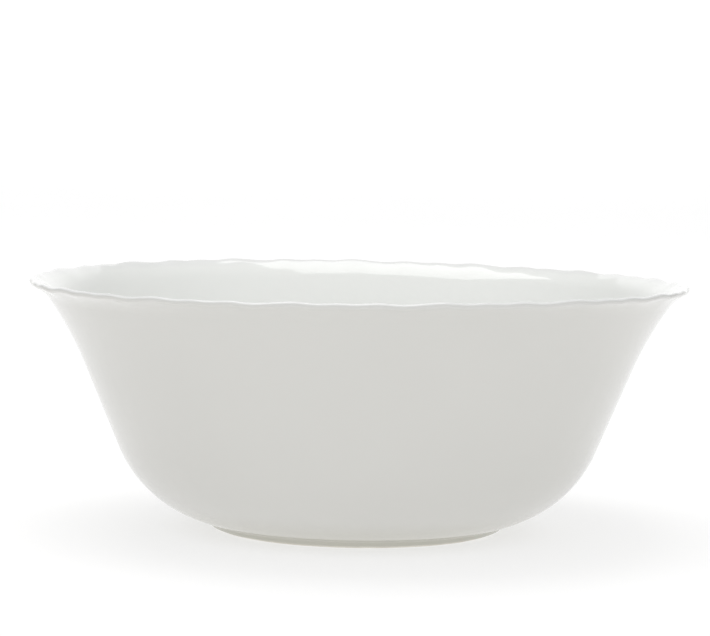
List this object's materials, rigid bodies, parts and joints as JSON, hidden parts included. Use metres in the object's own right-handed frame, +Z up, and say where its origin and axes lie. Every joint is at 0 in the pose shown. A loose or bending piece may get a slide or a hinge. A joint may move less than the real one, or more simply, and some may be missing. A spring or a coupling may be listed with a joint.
{
  "type": "serving bowl",
  "caption": "Round white glazed serving bowl with a flared wall and a scalloped, turned-out lip, standing on a low foot ring.",
  "frame": {"origin": "centre of the foot ring's bearing face, on the surface that the bowl stands on", "axes": "+Z up along the bowl's axis, towards the open mouth; -Y is the side that faces the viewer"},
  "size_m": [0.244, 0.2442, 0.0935],
  "materials": {
    "fired_body": "matt fired white body, unglazed",
    "bare_foot": "bare, lightly ground bearing rim",
    "outer_glaze": "smooth glossy white glaze",
    "inner_glaze": "smooth glossy white glaze",
    "base_glaze": "glossy white glaze, slightly pooled"
  },
  "bodies": {
    "root": {"porcelain_body": "fired_body", "foot_ring": "bare_foot", "outer_glaze": "outer_glaze", "inner_glaze": "inner_glaze", "base_glaze": "base_glaze"}
  },
  "joints": []
}
